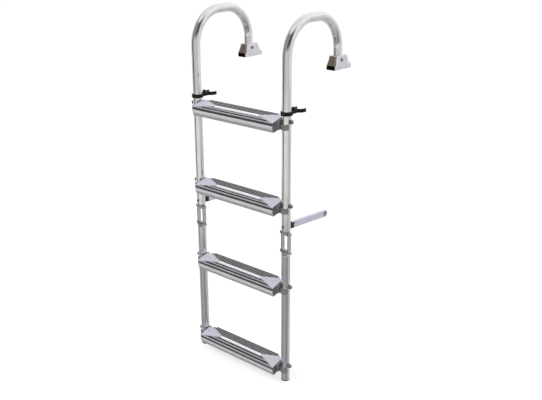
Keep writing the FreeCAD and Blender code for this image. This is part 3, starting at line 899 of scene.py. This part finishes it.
@dataclass
class Treads:
    """The four ribbed treads with their cap nuts and the collars between them and the tubes."""

    front: float = 41.0 * MM
    back: float = 19.0 * MM
    top: float = 8.0 * MM
    groove_depth: float = 3.0 * MM
    ridge_start: float = 25.9 * MM
    ridge_end: float = 32.6 * MM
    lip_top: float = 0.0
    lip_bottom: float = -9.0 * MM
    lip_reach: float = 3.0 * MM
    pad_tip: float = 66.0 * MM
    slack: float = 0.2 * MM
    end_slack: float = 0.5 * MM
    back_rounding: float = 2.5 * MM
    apron_depth: float = 5.0 * MM
    softness: float = 0.55 * MM
    washer: Profile = in_mm((6.3, -2.0), (6.3, 0.5), (6.0, 0.9), (5.0, 0.9))
    nut_corner: float = 6.5 * MM
    nut_levels: tuple[float, ...] = (0.6 * MM, 1.2 * MM, 4.8 * MM, 5.5 * MM)
    dome_foot: Profile = in_mm((5.0, 5.0))
    dome_radius: float = 5.2 * MM
    dome_length: float = 4.5 * MM
    bolt_radius: float = 4.0 * MM
    bolt_bite: float = 21.0 * MM
    collar_softness: float = 0.45 * MM
    finishes: tuple[Finish, ...] = (
        Finish.PAD, Finish.RIDGE_HIGHLIGHT, Finish.FRONT_RIBS, Finish.RIBS, Finish.GROOVE, Finish.BACK_GROOVE,
        Finish.NOSE, Finish.APRON, Finish.TREAD_END, Finish.UNDERSIDE,
    )

    def finish_at(self, centre: Vector, normal: Vector) -> Finish:
        """The finish that a face of a tread takes.

        Args:
            centre: the face's centre in the tread's own untilted frame.
            normal: its normal in that frame.

        Returns:
            The finish.
        """
        from_front = centre.y + self.front
        floor = self.top - self.groove_depth
        from_end = min(centre.x, Side.RIGHT.x - centre.x) - TREAD_START
        if abs(normal.x) > 0.9 and from_end < self.end_slack:
            return Finish.TREAD_END
        if 0.3 < abs(normal.x) < 0.7 and centre.z < floor:
            return Finish.TREAD_END
        above_grooves = centre.z > floor + self.slack
        # Away from the pads the ridge's top takes the near-white painted highlight.
        on_ridge = self.ridge_start < from_front < self.ridge_end
        if above_grooves and on_ridge and abs(normal.x) < 0.1:
            return Finish.RIDGE_HIGHLIGHT if from_end > self.pad_tip - self.end_slack else Finish.PAD
        if centre.z > self.top + self.slack or above_grooves and abs(normal.x) > 0.2:
            return Finish.PAD
        on_front = from_front < self.lip_reach + self.slack
        if on_front and centre.z > self.lip_top + self.slack and normal.z < 0.5:
            return Finish.GROOVE
        if on_front and centre.z > self.lip_bottom - 1.5 * self.slack:
            return Finish.NOSE
        if centre.z > floor - self.slack / 2:
            front_half = from_front < self.ridge_start
            if normal.z > 0.2 and centre.z > floor + 1.5 * self.slack:
                return Finish.FRONT_RIBS if front_half else Finish.RIBS
            if centre.y > self.back - self.back_rounding:
                return Finish.UNDERSIDE
            return Finish.GROOVE if front_half else Finish.BACK_GROOVE
        if from_front < self.apron_depth and normal.y < -0.3:
            return Finish.APRON
        return Finish.UNDERSIDE

    def tread(self, step: int) -> None:
        """Make one tread, with the finish of each face chosen by where it is.

        Args:
            step: its number from the top.
        """
        node = "step_%d_tread" % step
        piece = SoftenedPiece("tread_%d" % step, body_of_step(step), "tread_grey", node=node)
        centre = Vector((0, STILE_Y, STEP_Z[step - 1]))
        level = Matrix.Rotation(-TREAD_TILT, 3, "X")

        def place(face: bmesh.types.BMFace) -> Vector:
            """A face's centre in the tread's own untilted frame."""
            return level @ (face.calc_center_bounds() - centre)

        for x in (TREAD_START + self.pad_tip, Side.RIGHT.x - TREAD_START - self.pad_tip):
            raised = [f for f in piece.mesh.faces if place(f).z > self.top]
            edges = {e for f in raised for e in f.edges}
            corners = {v for f in raised for v in f.verts}
            parts = [*raised, *edges, *corners]
            bmesh.ops.bisect_plane(piece.mesh, geom=parts, plane_co=(x, 0, 0), plane_no=(1, 0, 0))
        for face in piece.mesh.faces:
            face.material_index = self.finishes.index(self.finish_at(place(face), level @ face.normal))
        piece.rounded(self.softness)
        piece.placed(self.finishes, [node])

    def nuts(self, step: int) -> None:
        """Make the two bolts of a tread, each with a shaped washer and a cap nut.

        Args:
            step: the tread's number from the top.
        """
        piece = Piece("tread_%d_cap_nuts" % step, body_of_step(step), "fasteners")
        end = self.dome_foot + dome(self.dome_radius, self.nut_levels[-1], self.dome_length, 88.0, 8)
        inward = TREAD_START + self.bolt_bite + TUBE_RADIUS
        shank = ((self.bolt_radius, 0.0), (self.bolt_radius, inward))
        for side in Side:
            out = Vector((side.out, 0, 0))
            seat = Vector((side.x, STILE_Y, STEP_Z[step - 1])) + TUBE_RADIUS * out
            turned(piece.mesh, seat, out, self.washer)
            cap_nut(piece.mesh, seat, out, self.nut_corner, self.nut_levels, end)
            turned(piece.mesh, seat, -out, shank, 24)
        piece.placed([Finish.NUT], ["step_%d_bolts" % step], sharp=32.0)

    def collar(self, step: int, side: Side) -> None:
        """Make the saddle between a tread's end and its tube.

        Args:
            step: the tread's number from the top.
            side: which end's.
        """
        node = "step_%d_%s_collar" % (step, side.word)
        name = "tread_%d_%s_saddle" % (step, side.word)
        body = body_of_step(step)
        soften(node, name, body, "collar_grey", Finish.COLLAR, self.collar_softness, angle=30.0)

    def build(self) -> None:
        """Make the treads, the nuts and the collars."""
        for step in range(1, len(STEP_Z) + 1):
            self.tread(step)
            self.nuts(step)
            for side in Side:
                self.collar(step, side)


@dataclass
class FoldLinks:
    """The two-bolt links at mid height, and the plugs in the tubes' ends that they turn on."""

    tongue_half: float = 9.4 * MM
    side_gap: float = 0.3 * MM
    strap_thickness: float = 3.0 * MM
    bolt_radius: float = 3.0 * MM
    bolt_washer: Profile = in_mm((5.4, 0.0), (5.4, 0.7), (5.0, 1.0))
    nut_corner: float = 5.5 * MM
    nut_levels: tuple[float, ...] = (0.9 * MM, 1.5 * MM, 4.6 * MM, 5.2 * MM)
    nut_length: float = 8.0 * MM
    dome_inset: float = 0.5 * MM
    dome_foot: float = 5.0 * MM
    softness: float = 0.4 * MM

    def bolts(self, side: Side) -> None:
        """Make the two fold bolts of a side, with a domed hexagon on each end.

        Args:
            side: which side's.
        """
        piece = Piece(side.word + "_fold_bolts", Body.LINKS, "fasteners")
        seat = self.tongue_half + self.side_gap + self.strap_thickness
        top = self.nut_levels[-1]
        radius = self.nut_corner * cos(pi / 6) - self.dome_inset
        end = ((radius, self.dome_foot), *dome(radius, top, self.nut_length - top, 86.0, 7))
        shank = ((self.bolt_radius, 0.0), (self.bolt_radius, 2 * seat))
        for z in (UPPER_BOLT_Z, LOWER_BOLT_Z):
            centre = Vector((side.x, STILE_Y, z))
            for axis in (X_AXIS, -X_AXIS):
                start = centre + seat * axis
                turned(piece.mesh, start, axis, self.bolt_washer)
                cap_nut(piece.mesh, start, axis, self.nut_corner, self.nut_levels, end)
            turned(piece.mesh, centre - seat * X_AXIS, X_AXIS, shank, 24)
        piece.placed([Finish.FASTENER], [side.word + "_hinge_bolts"], sharp=32.0)

    def build(self) -> None:
        """Make the plugs, link bars and bolts of both sides."""
        pieces = (
            ("_upper_hinge_plug", "_upper_end_plug", Body.UPPER, Finish.LINK_STEEL),
            ("_lower_hinge_plug", "_lower_end_plug", Body.LOWER, Finish.LINK_STEEL),
            ("_hinge_straps", "_link_bars", Body.LINKS, Finish.LINK_BAR),
        )
        for side in Side:
            for node, name, body, finish in pieces:
                soften(side.word + node, side.word + name, body, "hinge_steel", finish, self.softness)
            self.bolts(side)


@dataclass
class StowClips:
    """The black clips that hold the folded tubes, with the upright screws in their necks."""

    z: float = -83.0 * MM
    height: float = 10.0 * MM
    softness: float = 0.7 * MM
    screw_y: float = 27.0 * MM
    screw: Profile = in_mm(
        (3.0, 0.0), (3.0, 10.0), (4.1, 10.0), (4.5, 10.4), (4.5, 15.4), (4.1, 16.3), (3.3, 16.9),
        (2.7, 17.0), (1.6, 17.0), (1.5, 15.4),
    )
    knurled_from: float = 3.6 * MM
    knurl_depth: float = 0.035
    knurls: int = 18

    def knurled(self, turn: float, radius: float) -> float:
        """The shape of the screws' heads, which have a knurled rim."""
        depth = self.knurl_depth * (1 + cos(self.knurls * turn))
        return radius * (1.0 - depth) if radius > self.knurled_from else radius

    def build(self) -> None:
        """Make both clips and their screws."""
        screws = Piece("clip_thumb_screws", Body.UPPER, "black_plastic")
        for side in Side:
            node, name = side.word + "_stow_clip", side.word + "_tube_clip"
            soften(node, name, Body.UPPER, "black_plastic", Finish.BLACK, self.softness, 3)
            start = Vector((side.x, STILE_Y + self.screw_y, self.z - self.height / 2))
            turned(screws.mesh, start, Z_AXIS, self.screw, 72, self.knurled)
        screws.placed([Finish.BLACK], ["clip_screws"])


@dataclass
class StandoffArms:
    """The arms that hold the ladder off the hull, with their brackets, pins, screws and end rings."""

    pivot_y: float = -190.5 * MM
    pivot_z: float = -398.0 * MM
    length: float = 155.0 * MM
    height: float = 19.0 * MM
    droop: float = radians(4.5)
    arm_softness: float = 0.7 * MM
    eye_rim: Profile = in_mm((5.5, 4.2), (5.5, 4.7), (5.8, 5.05), (8.2, 5.05), (8.5, 4.7), (8.5, 4.2))
    bracket_half: float = 8.5 * MM
    bracket_softness: float = 0.5 * MM
    pin_radius: float = 3.0 * MM
    pin_head: Profile = in_mm((2.4, 0.0), (3.9, 0.35), (4.7, 0.9), (5.0, 1.5), (5.0, 2.0))
    screw_rise: float = 3.0 * MM
    cap_screw: Profile = in_mm(
        (3.0, 15.0), (3.0, 1.0), (4.5, 0.6), (4.5, -0.6), (4.2, -1.3), (3.4, -1.8), (2.5, -2.0),
        (2.2, -2.0), (2.1, -0.9),
    )

    def arm_body(self, side: Side) -> Body:
        """The body of a side's arm."""
        return Body.LEFT_ARM if side is Side.LEFT else Body.RIGHT_ARM

    def eye_ring(self, side: Side) -> None:
        """Make the thin rims round the hole at an arm's tip, one on each face.

        Args:
            side: which side's.
        """
        piece = Piece(side.word + "_arm_eye_rims", self.arm_body(side), "fasteners")
        reach = self.length - self.height / 2
        y = self.pivot_y + reach * cos(self.droop)
        z = self.pivot_z - reach * sin(self.droop)
        for way in (1.0, -1.0):
            loops = []
            for radius, across in self.eye_rim:
                centre = Vector((side.x + way * across, y, z))
                loops.append(ring(piece.mesh, centre, Y_AXIS, Z_AXIS, radius, 48))
            chain(piece.mesh, loops, closed=True)
        piece.placed([Finish.EYELET])

    def pin(self, side: Side) -> None:
        """Make the riveted pin that an arm turns on.

        Args:
            side: which side's.
        """
        piece = Piece(side.word + "_arm_pivot_pin", Body.UPPER, "fasteners")
        reach = self.bracket_half + self.pin_head[-1][1]
        start = Vector((side.x - reach, self.pivot_y, self.pivot_z))
        turned(piece.mesh, start, X_AXIS, two_headed(self.pin_head, self.pin_radius, 2 * reach))
        piece.placed([Finish.FASTENER], [side.word + "_standoff_pin"])

    def screw(self, side: Side) -> None:
        """Make the screw through the tube that holds a bracket: a low head with a recess.

        Args:
            side: which side's.
        """
        piece = Piece(side.word + "_bracket_cap_screw", Body.UPPER, "fasteners")
        seat = Vector((side.x, STILE_Y - TUBE_RADIUS, self.pivot_z + self.screw_rise))
        turned(piece.mesh, seat, Y_AXIS, self.cap_screw, 36)
        piece.placed([Finish.NUT], [side.word + "_bracket_screw"])

    def build(self) -> None:
        """Make both arms with what holds them."""
        for side in Side:
            node, name, body = side.word + "_standoff_arm", side.word + "_hull_arm", self.arm_body(side)
            soften(node, name, body, "arm_aluminium", Finish.ARM, self.arm_softness, 3)
            node, name, body = side.word + "_standoff_bracket", side.word + "_arm_bracket", Body.UPPER
            soften(node, name, body, "black_plastic", Finish.BLACK, self.bracket_softness)
            self.eye_ring(side)
            self.pin(side)
            self.screw(side)


@dataclass
class FootPlugs:
    """The dark plugs in the feet of the lower tubes."""

    rim: float = 3.0 * MM
    plug: Profile = in_mm(
        (6.0, 0.7), (6.4, 0.0), (11.3, 0.0), (12.3, 0.4), (12.7, 1.3), (12.7, 2.8), (12.4, 3.0),
        (11.15, 3.0), (11.15, 23.0),
    )

    def build(self) -> None:
        """Make both plugs, with a rounded rim and a shallow ring in the sole."""
        for side in Side:
            piece = Piece(side.word + "_foot_cap", Body.LOWER, "black_plastic")
            start = Vector((side.x, STILE_Y, FOOT_Z - self.rim))
            turned(piece.mesh, start, Z_AXIS, self.plug, 56)
            piece.placed([Finish.RUBBER], [side.word + "_foot_plug"])


# The studio

# What polished surfaces mirror. Each band has the rise over which it takes over from the one below,
# and stops of degrees round the compass, level and warmth.
ROOM_BANDS: tuple[Band, ...] = (
    ((-1.0, -1.0), (
        (-180, 0.6, 0.03), (-60, 0.44, 0.03), (0, 0.46, 0.04), (120, 0.5, 0.03), (180, 0.6, 0.03),
    )),
    ((-0.8, -0.66), (
        (-180, 0.95, -0.02), (-137, 0.88, -0.02), (-100, 0.62, -0.03), (-56, 0.42, -0.04),
        (-49, 0.24, 0.0), (-33, 0.24, 0.0), (-26, 0.39, -0.05), (37, 0.39, -0.055), (54, 0.3, -0.055),
        (66, 0.21, -0.055), (82, 0.37, -0.055), (97, 0.38, -0.05), (108, 0.5, -0.04), (127, 0.64, -0.03),
        (146, 0.5, -0.04), (163, 0.62, -0.03), (180, 0.95, -0.02),
    )),
    ((-0.42, -0.33), (
        (-180, 0.95, 0.0), (-100, 0.8, 0.01), (-56, 0.6, 0.02), (-48, 0.12, 0.08), (-33, 0.12, 0.08),
        (-26, 0.7, 0.03), (-8, 0.8, 0.03), (45, 0.84, 0.02), (62, 0.76, 0.0), (82, 0.58, -0.02),
        (112, 0.56, -0.01), (142, 0.62, -0.02), (165, 0.76, 0.0), (180, 0.95, 0.0),
    )),
    ((-0.26, -0.18), (
        (-180, 1.0, 0.0), (-140, 0.95, 0.02), (-110, 0.8, 0.03), (-85, 0.62, 0.03), (-57, 0.6, 0.03),
        (-48, 0.015, 0.1), (-32, 0.015, 0.1), (-26, 0.4, 0.05), (-8, 0.44, 0.04), (7, 0.6, 0.04),
        (67, 0.64, 0.02), (84, 0.52, 0.03), (97, 0.8, 0.02), (112, 0.9, 0.01), (127, 0.86, -0.01),
        (142, 0.76, -0.04), (156, 0.74, -0.01), (170, 0.95, 0.0), (180, 1.0, 0.0),
    )),
    ((0.1, 0.36), (
        (-180, 1.0, 0.0), (-130, 0.95, 0.02), (-100, 0.7, 0.04), (-60, 0.48, 0.06), (-52, 0.13, 0.26),
        (-34, 0.13, 0.26), (-26, 0.42, 0.06), (-8, 0.38, 0.05), (10, 0.26, 0.03), (26, 0.09, 0.0),
        (68, 0.09, 0.0), (84, 0.32, 0.03), (98, 0.85, 0.02), (112, 1.0, 0.0), (180, 1.0, 0.0),
    )),
)


@dataclass
class Studio:
    """The floor, the light and the camera."""

    floor_z: float = -0.8772
    floor_reach: float = 60.0
    floor_lit: Triple = (0.75, 0.75, 0.75)
    floor_seen: Triple = (0.5, 0.5, 0.5)
    floor_glow: float = 0.62
    plain_colour: Triple = (0.98, 0.985, 1.0)
    plain_level: float = 0.8
    ceiling: Triple = (0.88, 0.87, 0.85)
    ceiling_rise: Pair = (0.76, 0.86)
    key_size: Pair = (2.4, 2.0)
    key_energy: float = 46.0
    key_colour: Triple = (1.0, 0.99, 0.98)
    key_at: Triple = (-1.0, -2.4, 2.2)
    key_aim: Triple = (0.16, -0.15, -0.4)
    lens_pixels: float = 778.0
    frame_pixels: float = 542.0
    camera_at: Triple = (1.55382, -1.73088, 0.4018)
    camera_turn: float = 40.3
    camera_down: float = 20.32
    camera_roll: float = -0.11

    def ramp(self, tree: Tree, value: Socket, stops: Sequence[Triple]) -> Socket:
        """A colour ramp over the compass.

        Args:
            tree: the world's node tree.
            value: the compass direction from 0 to 1.
            stops: (degrees from -180 to 180, level, warmth) of each stop; warmth below 0 is bluer.

        Returns:
            The ramp's colour socket.
        """
        node = added(tree, "ValToRGB", Fac=value)
        elements = node.color_ramp.elements
        while len(elements) > 1:
            elements.remove(elements[-1])
        for k, (degrees, level, warmth) in enumerate(stops):
            place = (degrees + 180.0) / 360.0
            element = elements[0] if k == 0 else elements.new(place)
            element.position = place
            green = 1.0 + min(warmth, 0.0)
            element.color = (level * (1.0 + warmth), level * green, level * (1.0 - warmth), 1.0)
        return node.outputs["Color"]

    def room(self, tree: Tree, parts: Node) -> Socket:
        """What polished surfaces mirror: a pale room with darker sides, a dark beam above and a grey ground.

        Args:
            tree: the world's node tree.
            parts: the node that splits the direction into X, Y and Z.

        Returns:
            The room's colour socket.
        """
        front = maths(tree, "MULTIPLY", parts.outputs["Y"], -1.0)
        turn = maths(tree, "ARCTAN2", parts.outputs["X"], front)
        compass = maths(tree, "MULTIPLY_ADD", turn, 0.5 / pi, 0.5)
        bands = iter(ROOM_BANDS)
        mirrored = self.ramp(tree, compass, next(bands)[1])
        for rise, stops in bands:
            band = self.ramp(tree, compass, stops)
            mirrored = mixed(tree, spread(tree, parts.outputs["Z"], *rise), mirrored, band)
        return mixed(tree, spread(tree, parts.outputs["Z"], *self.ceiling_rise), mirrored, self.ceiling)

    def world(self) -> None:
        """The surroundings: white to the camera, plain to matt surfaces, and a room to polished ones."""
        world = bpy.data.worlds.new("studio")
        bpy.context.scene.world = world
        world.use_nodes = True
        tree = world.node_tree
        tree.nodes.clear()
        way = added(tree, "TexCoord")
        room = self.room(tree, added(tree, "SeparateXYZ", Vector=way.outputs["Generated"]))
        rays = added(tree, "LightPath")
        plain = added(tree, "Background", Color=self.plain_colour, Strength=self.plain_level)
        shiny = added(tree, "Background", Color=room)
        white = added(tree, "Background", Color=(1.0, 1.0, 1.0))
        lit = added(tree, "MixShader")
        wired(tree, lit, rays.outputs["Is Glossy Ray"], plain.outputs[0], shiny.outputs[0])
        clear = maths(tree, "MAXIMUM", rays.outputs["Is Camera Ray"], rays.outputs["Is Transmission Ray"])
        shown = wired(tree, added(tree, "MixShader"), clear, lit.outputs[0], white.outputs[0])
        added(tree, "OutputWorld", Surface=shown)

    def floor(self) -> None:
        """A plain pale floor that shows the shadow, and that can be looked through from below."""
        mesh = bmesh.new()
        r = self.floor_reach
        corners = [(-r, -r), (r, -r), (r, r), (-r, r)]
        mesh.faces.new([mesh.verts.new((x, y, self.floor_z)) for x, y in corners])
        data = bpy.data.meshes.new("studio_floor")
        mesh.to_mesh(data)
        mesh.free()
        floor = linked("studio_floor", data)
        floor.visible_glossy = False
        material = bpy.data.materials.new("studio_floor")
        material.use_nodes = True
        tree = material.node_tree
        tree.nodes.clear()
        rays = added(tree, "LightPath")
        shape = added(tree, "NewGeometry")
        paint = added(tree, "BsdfDiffuse", Color=self.floor_lit)
        seen = added(tree, "BsdfDiffuse", Color=self.floor_seen)
        glow = added(tree, "Emission", Strength=self.floor_glow)
        both = wired(tree, added(tree, "AddShader"), seen.outputs[0], glow.outputs[0])
        above = wired(tree, added(tree, "MixShader"), rays.outputs["Is Camera Ray"], paint.outputs[0], both)
        clear = added(tree, "BsdfTransparent")
        shown = wired(tree, added(tree, "MixShader"), shape.outputs["Backfacing"], above, clear.outputs[0])
        added(tree, "OutputMaterial", Surface=shown)
        data.materials.append(material)

    def lamps(self) -> None:
        """One large soft lamp from the front left and above."""
        light = bpy.data.lights.new("key_lamp", "AREA")
        light.shape = "RECTANGLE"
        light.size, light.size_y = self.key_size
        light.energy = self.key_energy
        light.color = self.key_colour
        lamp = linked("key_lamp", light)
        lamp.location = self.key_at
        aim = Vector(self.key_aim) - lamp.location
        lamp.rotation_mode = "QUATERNION"
        lamp.rotation_quaternion = aim.to_track_quat("-Z", "Y")
        lamp.visible_glossy = False
        lamp.visible_camera = False

    def camera(self) -> None:
        """The camera at the photograph's viewing angle, tipped down in place of a shift."""
        data = bpy.data.cameras.new("viewer")
        data.sensor_width = 36.0
        data.lens = self.lens_pixels / self.frame_pixels * data.sensor_width
        data.clip_start = 0.05
        data.clip_end = 200.0
        camera = linked("viewer", data)
        camera.location = self.camera_at
        turn = Euler((radians(90.0 - self.camera_down), 0.0, radians(self.camera_turn)))
        roll = Matrix.Rotation(radians(self.camera_roll), 3, "Z")
        camera.rotation_mode = "QUATERNION"
        camera.rotation_quaternion = (turn.to_matrix() @ roll).to_quaternion()
        bpy.context.scene.camera = camera

    def build(self) -> None:
        """Set up the floor, the light, the camera and the plain colour output."""
        self.floor()
        self.world()
        self.lamps()
        self.camera()
        bpy.context.scene.view_settings.view_transform = "Standard"


def main() -> None:
    logging.basicConfig(level=logging.INFO, format="%(name)s: %(message)s")
    for part in (Stiles, DeckSockets, Treads, FoldLinks, StowClips, StandoffArms, FootPlugs):
        part().build()
        LOG.info("built %s", part.__name__)
    Studio().build()


if __name__ == "__main__":
    main()
